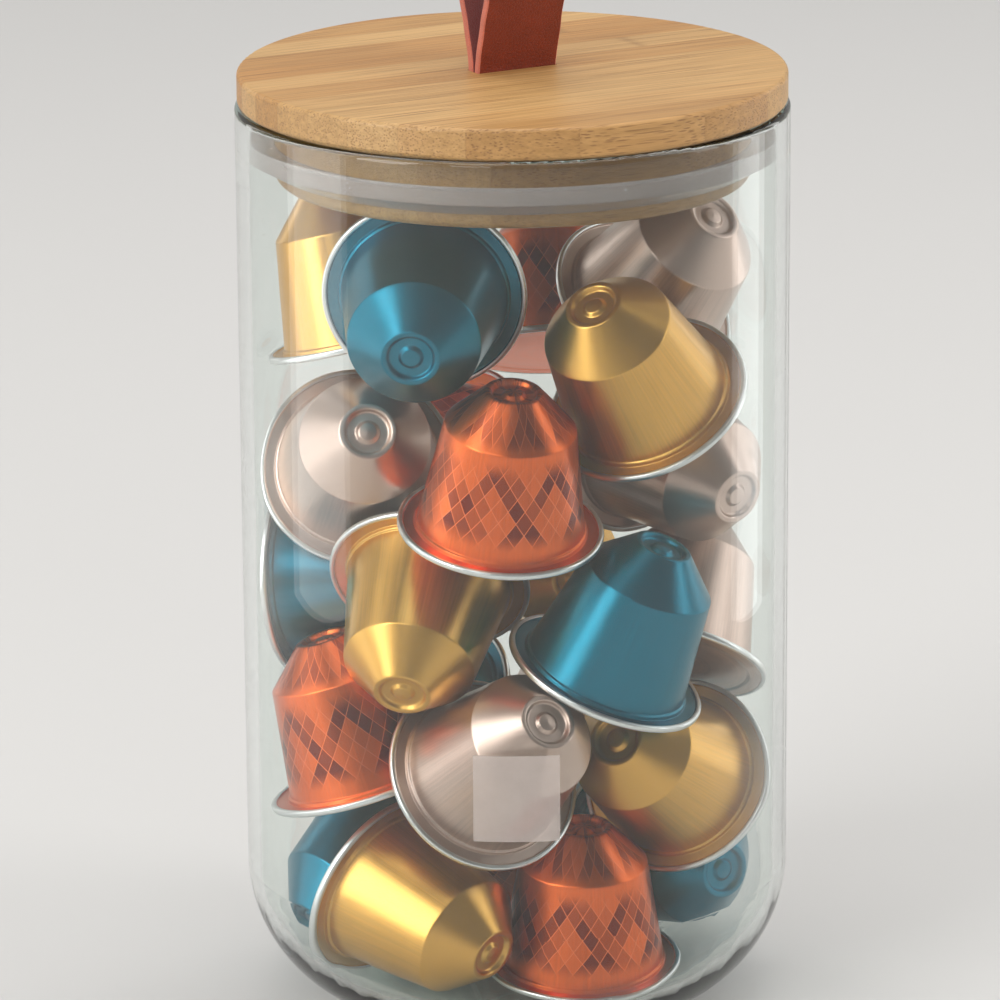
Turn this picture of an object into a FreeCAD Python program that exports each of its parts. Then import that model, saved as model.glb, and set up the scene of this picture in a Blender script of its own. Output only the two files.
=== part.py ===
import FreeCAD, Part
import Sketcher
import math
import os

# A glass jar of coffee capsules with a bamboo lid, a silicone seal and a leather pull loop.
# Millimetres and degrees. The origin is the centre of the foot, +Z is up, and -Y faces the viewer.

# Driving dimensions: name, value, what it is
SIZES = [
    ("jar_radius", 50.5, "outside radius of the glass"),
    ("jar_height", 171.2, "foot to rim"),
    ("jar_wall", 2.5, "thickness of the glass wall"),
    ("jar_corner", 27.0, "outside rounding between wall and foot"),
    ("jar_base", 4.5, "thickness of the glass base"),
    ("jar_inner_corner", 22.0, "inside rounding between wall and base"),
    ("jar_rim_round", 1.1, "rounding of the rim"),
    ("punt_radius", 18.0, "hollow under the foot, radius"),
    ("punt_rise", 1.2, "hollow under the foot, rise at the centre"),
    ("lid_rest", 0.2, "air between rim and lid disc"),
    ("disc_inset", 0.5, "how far the lid disc stands back from the outside of the glass"),
    ("disc_thick", 5.8, "lid disc thickness"),
    ("disc_edge", 0.8, "rounding of the disc edges"),
    ("plug_air", 4.6, "air between the plug of the lid and the glass"),
    ("plug_depth", 13.8, "how far the plug goes into the jar"),
    ("plug_edge", 2.2, "rounding of the plug's lower edge"),
    ("groove_top", 6.3, "seal groove, upper side below the disc"),
    ("groove_width", 4.5, "seal groove, width"),
    ("groove_depth", 2.4, "seal groove, depth"),
    ("seal_fit", 0.05, "air between the seal and its groove"),
    ("seal_clear", 0.05, "air between the seal's lip and the glass"),
    ("seal_root", 0.8, "how far the seal's root stands out of its groove"),
    ("lip_top", 4.9, "upper edge of the seal's lip below the disc"),
    ("lip_height", 3.4, "height of the seal's lip against the glass"),
    ("strap_width", 16.0, "leather strap width"),
    ("strap_thick", 1.8, "leather strap thickness"),
    ("strap_gap", 0.3, "air between the strap's two layers in the slot"),
    ("strap_turn", 28.0, "turn of the strap's width from +X toward +Y"),
    ("loop_radius", 10.0, "bend of the loop's top, to the middle of the leather"),
    ("loop_height", 43.5, "top of the loop above the disc"),
    ("slot_clear", 0.15, "air between strap and slot"),
    ("tail_length", 13.0, "strap tail that lies flat under the plug"),
    ("tail_bend", 1.2, "bend of the tails, to the middle of the leather"),
    ("leave_bend", 6.0, "bend where the strap leaves the slot, to the middle of the leather"),
    ("screw_place", 8.5, "screw axis from the middle of the slot"),
    ("screw_radius", 1.1, "screw shank radius"),
    ("screw_length", 9.0, "screw shank length under its head"),
    ("head_radius", 2.6, "screw head radius"),
    ("head_height", 1.5, "screw head height"),
    ("screw_fit", 0.05, "air round the screw shank"),
    ("rim_radius", 18.5, "capsule rim radius"),
    ("capsule_height", 28.4, "capsule height"),
    ("curl_width", 0.9, "rolled edge of the rim, width"),
    ("curl_height", 1.3, "rolled edge of the rim, height"),
    ("flange_thick", 0.8, "flat part of the rim, thickness"),
    ("bead_width", 0.4, "bead where the rim meets the cup, width"),
    ("bead_height", 0.7, "bead where the rim meets the cup, height"),
    ("cup_radius", 15.0, "cup radius at the rim"),
    ("shoulder_radius", 12.1, "cup radius at the shoulder"),
    ("shoulder_height", 20.2, "height of the shoulder"),
    ("end_radius", 5.6, "ring on the narrow end, radius"),
    ("end_ring", 0.9, "ring on the narrow end, width"),
    ("end_recess", 0.8, "depth inside the ring"),
    ("nub_radius", 2.0, "nub in the middle of the narrow end, radius"),
    ("foil_thick", 0.3, "foil thickness"),
    ("foil_fit", 0.05, "air between foil and rolled edge"),
    ("heap_gap", 0.4, "least air between capsules, glass and lid"),
]

# How the capsules lie, from the bottom up, as the photograph shows them and with the hidden
# ones guessed: name, place across the jar as shares of its bore, height as a share of the
# capsules' height, then the heading and lean of the narrow end from +X and from upright.
HEAP = [
    ("blue_1", -0.633, 0.094, 0.742, -136.0, 118.4),
    ("gold_1", -0.299, -0.521, 0.791, -42.3, 103.7),
    ("blue_2", 0.638, 0.085, 0.861, -54.6, 87.1),
    ("copper_1", 0.248, -0.379, 0.880, -91.4, 5.8),
    ("copper_2", -0.083, 0.498, 0.980, -100.8, 41.4),
    ("taupe_1", 0.272, 0.508, 1.709, -127.3, 82.6),
    ("gold_2", 0.500, -0.257, 1.749, -119.5, 58.5),
    ("blue_3", -0.501, 0.391, 1.843, -149.3, 59.6),
    ("taupe_2", -0.004, -0.700, 2.057, -58.1, 54.0),
    ("copper_3", -0.645, -0.227, 2.094, 168.1, 17.4),
    ("gold_4", 0.127, 0.412, 2.629, -65.8, 89.8),
    ("taupe_3", 0.681, 0.201, 2.651, 64.4, 38.4),
    ("gold_3", -0.377, -0.546, 2.737, -102.1, 121.4),
    ("blue_4", -0.595, 0.151, 2.805, -14.1, 84.4),
    ("blue_5", 0.442, -0.558, 2.911, -20.8, 24.2),
    ("copper_5", -0.423, 0.430, 3.557, -146.4, 61.9),
    ("taupe_4", 0.676, 0.029, 3.561, -53.8, 100.4),
    ("taupe_5", -0.579, -0.224, 3.821, -83.7, 61.1),
    ("copper_6", -0.031, -0.676, 3.970, -70.3, 14.4),
    ("copper_7", 0.153, 0.667, 4.559, 93.2, 27.6),
    ("gold_5", 0.390, -0.502, 4.581, -124.3, 40.1),
    ("blue_6", -0.353, -0.575, 4.801, -93.7, 98.9),
    ("gold_6", -0.659, 0.212, 4.878, 152.8, 16.3),
    ("taupe_6", 0.634, 0.171, 4.904, -51.2, 43.6),
]

# How the heap is settled: points round each capsule, tries to push it clear, steps up and down,
# and how near a neighbour is when a capsule leans on it
RIM_COUNT = 96
CUP_COUNT = 24
CUP_RINGS = 7
PUSH_TRIES = 60
LIFT_STEP = 1.0
DOWN_STEP = 0.5
LEAN = 0.2
TOUCH = 0.02

V = FreeCAD.Vector
doc = FreeCAD.newDocument("CapsuleJar")
sheet = doc.addObject("Spreadsheet::Sheet", "Sizes")


class Size:
    """A value from the sheet, or worked out from such values, with the expression that gives it."""

    def __init__(self, value, text):
        self.value = value
        self.text = text

    def _join(self, other, sign, value):
        return Size(value, f"({self.text} {sign} {text_of(other)})")

    def __add__(self, other):
        return self._join(other, "+", self.value + value_of(other))

    def __sub__(self, other):
        return self._join(other, "-", self.value - value_of(other))

    def __mul__(self, other):
        return self._join(other, "*", self.value * value_of(other))

    def __truediv__(self, other):
        return self._join(other, "/", self.value / value_of(other))

    def __neg__(self):
        return Size(-self.value, f"(-{self.text})")


def value_of(size):
    """The number in a size or in a plain number."""
    return size.value if isinstance(size, Size) else float(size)


def text_of(size):
    """The expression of a size or of a plain number."""
    return size.text if isinstance(size, Size) else repr(size)


def fill_sheet():
    """Write the driving dimensions into the sheet and return them by name."""
    sizes = {}
    for row, (name, value, note) in enumerate(SIZES, start=1):
        sheet.set(f"A{row}", name)
        sheet.set(f"B{row}", str(value))
        sheet.set(f"C{row}", note)
        sheet.setAlias(f"B{row}", name)
        sizes[name] = Size(value, f"Sizes.{name}")
    doc.recompute()
    return sizes


S = fill_sheet()

# Sizes that several pieces share
BORE = S["jar_radius"] - S["jar_wall"]
LID_LEVEL = S["jar_height"] + S["lid_rest"]
PLUG_LEVEL = LID_LEVEL - S["plug_depth"]
PLUG_RADIUS = BORE - S["plug_air"]
DISC_RADIUS = S["jar_radius"] - S["disc_inset"]
GROOVE_FLOOR = PLUG_RADIUS - S["groove_depth"]
GROOVE_BOTTOM = S["groove_top"] + S["groove_width"]
STRAP_MIDDLE = S["strap_thick"] / 2 + S["strap_gap"] / 2
SLOT_WIDTH = S["strap_width"] + S["slot_clear"] * 2
SLOT_GAP = S["strap_thick"] * 2 + S["strap_gap"] + S["slot_clear"] * 2
RECESS_DEPTH = S["strap_thick"] + S["head_height"] + S["slot_clear"]
RECESS_LENGTH = (S["tail_length"] + STRAP_MIDDLE + S["slot_clear"]) * 2


def bind(owner, prop, size):
    """Tie a property to the sheet."""
    owner.setExpression(prop, text_of(size))


def origin_plane(body, role):
    """One of the body's own origin planes."""
    return [f for f in body.Origin.OriginFeatures if f.Role == role][0]


def new_sketch(body, name, role):
    """An empty sketch flat on one of the body's origin planes."""
    sketch = body.newObject("Sketcher::SketchObject", name)
    sketch.AttachmentSupport = [(origin_plane(body, role), "")]
    sketch.MapMode = "FlatFace"
    return sketch


def hold(sketch, geometry, point, size, kind):
    """Hold one end or centre of a sketch element at a size from the origin, along X or Y."""
    if value_of(size) == 0:
        axis = -2 if kind == "DistanceX" else -1
        sketch.addConstraint(Sketcher.Constraint("PointOnObject", geometry, point, axis))
        return
    at = sketch.addConstraint(Sketcher.Constraint(kind, -1, 1, geometry, point, value_of(size)))
    if isinstance(size, Size):
        bind(sketch, f"Constraints[{at}]", size)


def outline(body, name, role, corners):
    """A closed sketch of straight lines through corners, each held by its two sizes."""
    sketch = new_sketch(body, name, role)
    count = len(corners)
    points = [V(value_of(x), value_of(y), 0) for x, y in corners]
    for i in range(count):
        sketch.addGeometry(Part.LineSegment(points[i], points[(i + 1) % count]), False)
    for i in range(count):
        sketch.addConstraint(Sketcher.Constraint("Coincident", i, 2, (i + 1) % count, 1))
    for i, (x, y) in enumerate(corners):
        hold(sketch, i, 1, x, "DistanceX")
        hold(sketch, i, 1, y, "DistanceY")
    return sketch


def circle(body, name, role, radius, x=0, y=0):
    """A sketch of one circle."""
    sketch = new_sketch(body, name, role)
    centre = V(value_of(x), value_of(y), 0)
    sketch.addGeometry(Part.Circle(centre, V(0, 0, 1), value_of(radius)), False)
    at = sketch.addConstraint(Sketcher.Constraint("Radius", 0, value_of(radius)))
    bind(sketch, f"Constraints[{at}]", radius)
    hold(sketch, 0, 3, x, "DistanceX")
    hold(sketch, 0, 3, y, "DistanceY")
    return sketch


def rectangle(body, name, role, wide, deep):
    """A sketch of a rectangle round the origin."""
    x = wide / 2
    y = deep / 2
    return outline(body, name, role, [(-x, -y), (x, -y), (x, y), (-x, y)])


def new_body(label):
    """An empty body whose label names its piece."""
    body = doc.addObject("PartDesign::Body", label)
    body.Label = label
    return body


def turned(body, name, corners):
    """Turn an outline in the XZ plane full round the body's Z axis."""
    sketch = outline(body, name + "_outline", "XZ_Plane", corners)
    feature = body.newObject("PartDesign::Revolution", name)
    feature.Profile = sketch
    feature.ReferenceAxis = (sketch, ["V_Axis"])
    feature.Angle = 360
    return feature


def pocket(body, name, sketch, depth, reverse=False):
    """Cut a sketch out of the body, or right through both ways if no depth is given."""
    feature = body.newObject("PartDesign::Pocket", name)
    feature.Profile = sketch
    if depth is None:
        feature.Type = "ThroughAll"
        feature.Midplane = True
    else:
        bind(feature, "Length", depth)
        feature.Reversed = reverse
    return feature


def ring_edge(shape, radius, level):
    """The name of the round edge with this radius at this height."""
    for number, edge in enumerate(shape.Edges, start=1):
        curve = edge.Curve
        if isinstance(curve, Part.Circle):
            if abs(curve.Radius - value_of(radius)) < 0.001 and abs(curve.Center.z - value_of(level)) < 0.001:
                return f"Edge{number}"
    raise ValueError(f"no round edge of radius {value_of(radius)} at {value_of(level)}")


def rounded(body, name, base, radius, rings):
    """Round the edges given as (radius, height) pairs."""
    doc.recompute()
    feature = body.newObject("PartDesign::Fillet", name)
    feature.Base = (base, [ring_edge(base.Shape, r, z) for r, z in rings])
    bind(feature, "Radius", radius)
    return feature


def place_level(part, level):
    """Bind the height at which a part stands."""
    bind(part, "Placement.Base.z", level)


def make_jar():
    """The glass: one turned wall and base, with a thick rounded corner and a hollow under the foot."""
    body = new_body("glass_jar")
    glass = turned(body, "glass", [
        (0, S["punt_rise"]), (S["punt_radius"], 0), (S["jar_radius"], 0),
        (S["jar_radius"], S["jar_height"]), (BORE, S["jar_height"]), (BORE, S["jar_base"]),
        (0, S["jar_base"]),
    ])
    outside = rounded(body, "outer_corner", glass, S["jar_corner"], [(S["jar_radius"], 0)])
    inside = rounded(body, "inner_corner", outside, S["jar_inner_corner"], [(BORE, S["jar_base"])])
    rounded(body, "rim_rounding", inside, S["jar_rim_round"],
            [(S["jar_radius"], S["jar_height"]), (BORE, S["jar_height"])])
    return body


def strap_slot(body):
    """The slot that the leather goes through, cut right through the body."""
    slot = rectangle(body, "slot_outline", "XY_Plane", SLOT_WIDTH, SLOT_GAP)
    return pocket(body, "slot", slot, None)


def set_lid_place(part):
    """Stand a piece of the lid at the disc's underside, turned as the strap is."""
    part.Placement = FreeCAD.Placement(V(0, 0, 0), FreeCAD.Rotation(V(0, 0, 1), value_of(S["strap_turn"])))
    place_level(part, LID_LEVEL)


def make_disc():
    """The bamboo disc that closes the jar and stands just inside the edge of the glass."""
    body = new_body("lid_disc")
    face = circle(body, "disc_outline", "XY_Plane", DISC_RADIUS)
    disc = body.newObject("PartDesign::Pad", "disc")
    disc.Profile = face
    bind(disc, "Length", S["disc_thick"])
    rounded(body, "disc_edges", disc, S["disc_edge"],
            [(DISC_RADIUS, 0), (DISC_RADIUS, S["disc_thick"])])
    strap_slot(body)
    set_lid_place(body)
    return body


def make_plug():
    """The bamboo plug under the disc, with the seal groove, the strap slot and the tails' recess."""
    body = new_body("lid_plug")
    wide = PLUG_RADIUS
    plug = turned(body, "plug", [
        (0, 0), (0, -S["plug_depth"]), (wide, -S["plug_depth"]), (wide, -GROOVE_BOTTOM),
        (GROOVE_FLOOR, -GROOVE_BOTTOM), (GROOVE_FLOOR, -S["groove_top"]), (wide, -S["groove_top"]),
        (wide, 0),
    ])
    rounded(body, "plug_edge", plug, S["plug_edge"], [(wide, -S["plug_depth"])])
    strap_slot(body)
    recess = rectangle(body, "recess_outline", "XY_Plane", SLOT_WIDTH, RECESS_LENGTH)
    bind(recess, "AttachmentOffset.Base.z", -S["plug_depth"])
    pocket(body, "recess", recess, RECESS_DEPTH, reverse=True)
    for side in (-1, 1):
        hole = circle(body, "pilot_outline", "XY_Plane", S["screw_radius"] + S["screw_fit"],
                      0, S["screw_place"] * side)
        bind(hole, "AttachmentOffset.Base.z", -S["plug_depth"])
        pocket(body, "pilot", hole, S["head_height"] + S["screw_length"] + S["slot_clear"], reverse=True)
    set_lid_place(body)
    return body


def make_seal():
    """The silicone ring: its root sits in the groove and its lip rises to the glass."""
    body = new_body("seal_ring")
    inner = GROOVE_FLOOR + S["seal_fit"]
    root = PLUG_RADIUS + S["seal_root"]
    outer = BORE - S["seal_clear"]
    top = -(S["groove_top"] + S["seal_fit"])
    bottom = -(GROOVE_BOTTOM - S["seal_fit"])
    turned(body, "seal", [
        (inner, top), (inner, bottom), (root, bottom), (outer, -(S["lip_top"] + S["lip_height"])),
        (outer, -S["lip_top"]), (root, top),
    ])
    place_level(body, LID_LEVEL)
    return body


def arc(centre, radius, start, end):
    """An arc in the strap's plane, from one angle to another, in radians."""
    def point(angle):
        return V(0, centre[0] + radius * math.cos(angle), centre[1] + radius * math.sin(angle))
    return Part.Arc(point(start), point((start + end) / 2), point(end)).toShape()


def strap_side(offset, turn_out):
    """Half of one face of the strap, from the tail's end up to the top of the loop."""
    middle = value_of(STRAP_MIDDLE)
    tail_level = value_of(S["head_height"] + S["strap_thick"] / 2 - S["plug_depth"])
    bend = value_of(S["tail_bend"])
    leave = value_of(S["leave_bend"])
    loop = value_of(S["loop_radius"])
    exit_level = value_of(S["disc_thick"])
    centre = exit_level + value_of(S["loop_height"] - S["strap_thick"] / 2 - S["loop_radius"])
    tail = arc((middle + bend, tail_level + bend), bend - offset, -math.pi / 2, -math.pi)
    leaving = arc((middle + leave, exit_level), leave - offset, math.pi, math.pi - turn_out)
    top = arc((0, centre), loop + offset, -turn_out, math.pi / 2)
    end = V(0, middle + value_of(S["tail_length"]), tail_level + offset)
    return [
        Part.makeLine(end, tail.firstVertex(True).Point),
        tail,
        Part.makeLine(tail.lastVertex(True).Point, leaving.firstVertex(True).Point),
        leaving,
        Part.makeLine(leaving.lastVertex(True).Point, top.firstVertex(True).Point),
        top,
    ]


def strap_spread():
    """How far each layer leans out, so that it runs straight into the round top of the loop."""
    rise = value_of(S["loop_height"] - S["strap_thick"] / 2 - S["loop_radius"])
    reach = value_of(STRAP_MIDDLE + S["leave_bend"])
    total = value_of(S["loop_radius"] + S["leave_bend"])
    return math.asin(total / math.hypot(rise, reach)) - math.atan2(reach, rise)


def make_strap():
    """The leather: one strap doubled into a loop, its tails screwed down flat under the plug."""
    turn_out = strap_spread()
    half = value_of(S["strap_thick"]) / 2
    wide = value_of(S["strap_width"])
    outer = Part.Wire(strap_side(half, turn_out))
    inner = Part.Wire(strap_side(-half, turn_out))
    cap = Part.makeLine(outer.OrderedVertexes[0].Point, inner.OrderedVertexes[0].Point)
    cut = Part.makeLine(outer.OrderedVertexes[-1].Point, inner.OrderedVertexes[-1].Point)
    face = Part.Face(Part.Wire(Part.__sortEdges__(outer.Edges + [cut] + inner.Edges + [cap])))
    one = face.extrude(V(wide, 0, 0))
    one.translate(V(-wide / 2, 0, 0))
    hole = value_of(S["screw_radius"] + S["screw_fit"])
    depth = value_of(S["plug_depth"])
    place = value_of(S["screw_place"])
    one = one.cut(Part.makeCylinder(hole, depth, V(0, place, -depth)))
    other = one.mirror(V(0, 0, 0), V(0, 1, 0))
    part = doc.addObject("Part::Feature", "pull_loop")
    part.Label = "pull_loop"
    part.Shape = one.fuse(other).removeSplitter()
    set_lid_place(part)
    return part


def make_screw(label, side):
    """A pan-head screw, head down, that holds one tail of the strap."""
    body = new_body(label)
    turned(body, "screw", [
        (0, -S["head_height"]), (S["head_radius"] * 0.6, -S["head_height"]),
        (S["head_radius"], -S["head_height"] / 2), (S["head_radius"], 0), (S["screw_radius"], 0),
        (S["screw_radius"], S["screw_length"] - S["screw_radius"]), (0, S["screw_length"]),
    ])
    angle = math.radians(value_of(S["strap_turn"]) + 90)
    reach = S["screw_place"] * side
    body.Placement = FreeCAD.Placement(V(0, 0, 0), FreeCAD.Rotation(V(0, 0, 1), 0))
    bind(body, "Placement.Base.x", reach * math.cos(angle))
    bind(body, "Placement.Base.y", reach * math.sin(angle))
    place_level(body, PLUG_LEVEL + S["head_height"])
    return body


def cup_corners():
    """Half the section of a capsule's cup, from its foil face to the nub on its narrow end."""
    rim = S["rim_radius"]
    curl = rim - S["curl_width"]
    foil = S["foil_thick"]
    bead = S["cup_radius"] + S["bead_width"]
    tall = S["capsule_height"]
    end = S["end_radius"]
    inner_end = end - S["end_ring"]
    floor = tall - S["end_recess"]
    return [
        (0, foil), (curl, foil), (curl, 0), (rim, 0), (rim, S["curl_height"]),
        (curl, S["curl_height"]), (curl, S["flange_thick"]), (bead, S["flange_thick"]),
        (bead, S["flange_thick"] + S["bead_height"]), (S["cup_radius"], S["flange_thick"] + S["bead_height"]),
        (S["shoulder_radius"], S["shoulder_height"]), (end, tall), (inner_end, tall),
        (inner_end, floor), (S["nub_radius"], floor), (S["nub_radius"], tall), (0, tall),
    ]


def make_capsule(name, place):
    """One capsule: a closed aluminium cup and the foil that seals it, lying at its place."""
    cup = new_body(name + "_cup")
    turned(cup, "cup", cup_corners())
    foil = new_body(name + "_foil")
    disc = foil.newObject("PartDesign::Pad", "foil")
    disc.Profile = circle(foil, "foil_outline", "XY_Plane", S["rim_radius"] - S["curl_width"] - S["foil_fit"])
    bind(disc, "Length", S["foil_thick"])
    cup.Placement = place
    foil.Placement = place
    return [cup, foil]


def direction(heading, lean):
    """The way a narrow end points, from its heading and its lean."""
    flat = math.sin(math.radians(lean))
    turn = math.radians(heading)
    return (flat * math.cos(turn), flat * math.sin(turn), math.cos(math.radians(lean)))


def capsule_rings():
    """The circles that stand for a capsule's skin: height from the foil, radius, points."""
    flange = value_of(S["curl_height"])
    shoulder = value_of(S["shoulder_height"])
    tall = value_of(S["capsule_height"])
    wide = value_of(S["cup_radius"])
    narrow = value_of(S["shoulder_radius"])
    end = value_of(S["end_radius"])
    rings = [(height, value_of(S["rim_radius"]), RIM_COUNT) for height in (0, flange)]
    for ring in range(1, CUP_RINGS + 1):
        share = ring / CUP_RINGS
        rings.append((flange + share * (shoulder - flange), wide + share * (narrow - wide), CUP_COUNT))
    rings.append(((shoulder + tall) / 2, (narrow + end) / 2, CUP_COUNT))
    rings.append((tall, end, CUP_COUNT))
    return rings


def capsule_skin(way):
    """Points on a capsule's skin round the middle of its axis, and a few inside it."""
    turn = FreeCAD.Rotation(V(0, 0, 1), V(*way))
    half = value_of(S["capsule_height"]) / 2
    points = []
    for height, radius, count in capsule_rings():
        for k in range(count):
            angle = 2 * math.pi * k / count
            points.append(turn.multVec(V(radius * math.cos(angle), radius * math.sin(angle), height - half)))
        points.append(turn.multVec(V(0, 0, height - half)))
    return [(p.x, p.y, p.z) for p in points]


def cone_faces():
    """The cup's two cones as lines across its half section: outward height, outward radius, offset."""
    stations = [
        (value_of(S["flange_thick"]), value_of(S["cup_radius"])),
        (value_of(S["shoulder_height"]), value_of(S["shoulder_radius"])),
        (value_of(S["capsule_height"]), value_of(S["end_radius"])),
    ]
    faces = []
    for (low, wide), (high, narrow) in zip(stations, stations[1:]):
        length = math.hypot(high - low, wide - narrow)
        up, out = (wide - narrow) / length, (high - low) / length
        faces.append((up, out, up * low + out * wide))
    return faces


CONES = cone_faces()
RIM = value_of(S["rim_radius"])
CURL = value_of(S["curl_height"])
TALL = value_of(S["capsule_height"])
REACH = math.hypot(RIM, TALL / 2)
AIR = value_of(S["heap_gap"])


def gap_to_capsule(x, y, z, way):
    """Air between a point, given from a capsule's middle, and that capsule; less than 0 inside."""
    along = x * way[0] + y * way[1] + z * way[2]
    height = along + TALL / 2
    radius = math.sqrt(max(x * x + y * y + z * z - along * along, 0.0))
    out = radius - RIM
    off = max(-height, height - CURL)
    rim = math.hypot(out, off) if out > 0 and off > 0 else max(out, off)
    cup = max(-height, height - TALL)
    for up, side, offset in CONES:
        cup = max(cup, up * height + side * radius - offset)
    return min(rim, cup)


def gap_to_jar(x, y, z):
    """Air between a point and the inside of the glass."""
    corner = value_of(S["jar_inner_corner"])
    bore = value_of(BORE)
    radius = math.hypot(x, y)
    low = z - value_of(S["jar_base"])
    if low < corner and radius > bore - corner:
        return corner - math.hypot(radius - bore + corner, corner - low)
    return min(bore - radius, low)


def uphill(gap, x, y, z):
    """The way in which the air at a point grows fastest."""
    step = 0.001
    slope = V(gap(x + step, y, z) - gap(x - step, y, z), gap(x, y + step, z) - gap(x, y - step, z),
              gap(x, y, z + step) - gap(x, y, z - step))
    return slope.normalize() if slope.Length > 0 else V(0, 0, 1)


def least(points, dx, dy, dz, gap, within):
    """The point with the least air, moved by the given step, if that is under the given air."""
    reach = (REACH + within) ** 2
    found = None
    for px, py, pz in points:
        x = px + dx
        y = py + dy
        z = pz + dz
        if x * x + y * y + z * z < reach:
            air = gap(x, y, z)
            if air < within:
                within = air
                reach = (REACH + max(within, 0)) ** 2
                found = (x, y, z)
    return within, found


def nearest(points, way, at, heap):
    """The least air round a capsule at its place, and the way that leads clear of what is there."""
    air, lead = 1000.0, V(0, 0, 1)
    for px, py, pz in points:
        x = px + at.x
        y = py + at.y
        z = pz + at.z
        room = gap_to_jar(x, y, z)
        if room < air:
            air, touch = room, (x, y, z)
    lead = uphill(gap_to_jar, *touch)
    for other_points, other_way, other_at in heap:
        step = at - other_at
        if step.Length > 2 * REACH + air:
            continue
        def to_other(x, y, z):
            return gap_to_capsule(x, y, z, other_way)
        def to_this(x, y, z):
            return gap_to_capsule(x, y, z, way)
        air, touch = least(points, step.x, step.y, step.z, to_other, air)
        if touch:
            lead = uphill(to_other, *touch)
        air, touch = least(other_points, -step.x, -step.y, -step.z, to_this, air)
        if touch:
            lead = -uphill(to_this, *touch)
    return air, lead


def push_clear(points, way, at, heap):
    """Move a capsule away from whatever it is too near to."""
    for _ in range(PUSH_TRIES):
        air, lead = nearest(points, way, at, heap)
        if air >= AIR - TOUCH:
            return at
        at = at + lead * (AIR - air)
    while nearest(points, way, at, heap)[0] < AIR - TOUCH and at.z < value_of(LID_LEVEL):
        at = at + V(0, 0, LIFT_STEP)
    return at


def let_down(points, way, at, heap):
    """Lower a capsule that leans on nothing until it rests on what is under it."""
    step = DOWN_STEP if nearest(points, way, at, heap)[0] > AIR + LEAN else 0
    while step > TOUCH:
        lower = at - V(0, 0, step)
        if nearest(points, way, lower, heap)[0] >= AIR - TOUCH:
            at = lower
        else:
            step = step / 2
    return at


def settle():
    """Where each capsule of the heap comes to rest; one that finds no room under the lid is left out."""
    heap = []
    places = []
    for name, across, deep, up, heading, lean in HEAP:
        way = direction(heading, lean)
        points = capsule_skin(way)
        at = V(value_of(BORE * across), value_of(BORE * deep), TALL * up)
        at = let_down(points, way, push_clear(points, way, at, heap), heap)
        if at.z + max(p[2] for p in points) <= value_of(PLUG_LEVEL) - AIR:
            heap.append((points, way, at))
            foot = at - V(*way) * (TALL / 2)
            places.append((name, FreeCAD.Placement(foot, FreeCAD.Rotation(V(0, 0, 1), V(*way)))))
    return places


def check(parts):
    """Stop if any object of the document failed, or any piece has no sound solid."""
    doc.recompute()
    for thing in doc.Objects:
        if "Invalid" in thing.State or "Error" in thing.State:
            raise RuntimeError(f"{thing.Name} failed: {thing.State}")
    for part in parts:
        if part.Shape.isNull() or not part.Shape.isValid() or len(part.Shape.Solids) != 1:
            raise RuntimeError(f"{part.Label} has no sound solid")


def main():
    """Make every piece, check it and write it."""
    parts = [make_jar(), make_disc(), make_plug(), make_seal(), make_strap()]
    parts += [make_screw("strap_screw_front", -1), make_screw("strap_screw_back", 1)]
    for name, place in settle():
        parts += make_capsule(name, place)
    check(parts)
    os.makedirs("parts", exist_ok=True)
    for part in parts:
        part.Shape.exportStep(os.path.join("parts", part.Label + ".step"))
        box = part.Shape.BoundBox
        print(f"{part.Label}: {box.XLength:.1f} x {box.YLength:.1f} x {box.ZLength:.1f} mm,"
              f" {part.Shape.Volume:.0f} mm3")


main()
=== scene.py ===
import math

import bmesh
import bpy
from mathutils import Matrix, Vector


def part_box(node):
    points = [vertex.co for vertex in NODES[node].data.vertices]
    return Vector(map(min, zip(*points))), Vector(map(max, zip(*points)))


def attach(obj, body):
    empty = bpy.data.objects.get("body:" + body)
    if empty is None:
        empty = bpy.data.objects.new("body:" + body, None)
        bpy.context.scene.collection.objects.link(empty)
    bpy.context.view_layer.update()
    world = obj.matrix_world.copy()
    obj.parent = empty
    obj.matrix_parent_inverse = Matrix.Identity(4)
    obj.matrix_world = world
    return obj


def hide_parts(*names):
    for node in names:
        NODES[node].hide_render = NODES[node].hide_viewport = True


# Looks of a glass jar of coffee capsules with a bamboo lid, a silicone seal and a leather loop.
# The solids come packed, in metres: the origin is under the middle of the jar and +Z is up.

bl_info = {
    "name": "Glass capsule jar",
    "version": (1, 0, 0),
    "blender": (4, 5, 0),
    "location": "View3D > Sidebar > Capsule jar",
    "description": "Dresses a glass jar of coffee capsules with a bamboo lid",
    "category": "Object",
}

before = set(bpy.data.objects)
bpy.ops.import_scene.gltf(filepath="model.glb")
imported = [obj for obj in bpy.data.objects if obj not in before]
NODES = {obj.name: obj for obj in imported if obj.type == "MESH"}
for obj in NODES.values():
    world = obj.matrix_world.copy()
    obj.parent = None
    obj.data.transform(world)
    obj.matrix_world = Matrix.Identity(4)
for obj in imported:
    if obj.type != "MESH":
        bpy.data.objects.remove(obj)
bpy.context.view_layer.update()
MM = 0.001
COLOURS = ("gold", "blue", "copper", "taupe")
GLASS_IOR, SILICONE_IOR = 1.47, 1.41
BEHIND_GLASS = 4.5  # a ray straight through the jar crosses four surfaces, one that is thrown back crosses more
WELD = MM / 1000  # points nearer than this are one point
STREAK_COUNT = 34  # drawing streaks to a radian
DIAMOND_ROWS = ((0.0, 0.55, 1.0), (1.0, 0.15, 0.6))  # of every four rows: which, and how dark from and to
PATCH_FACES = (24, 12)  # round the jar, and up
CAPSULE_TURN = 2.4  # each capsule is turned this much further about its own axis than the last
STEEL = (0.60, 0.59, 0.58)

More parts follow.
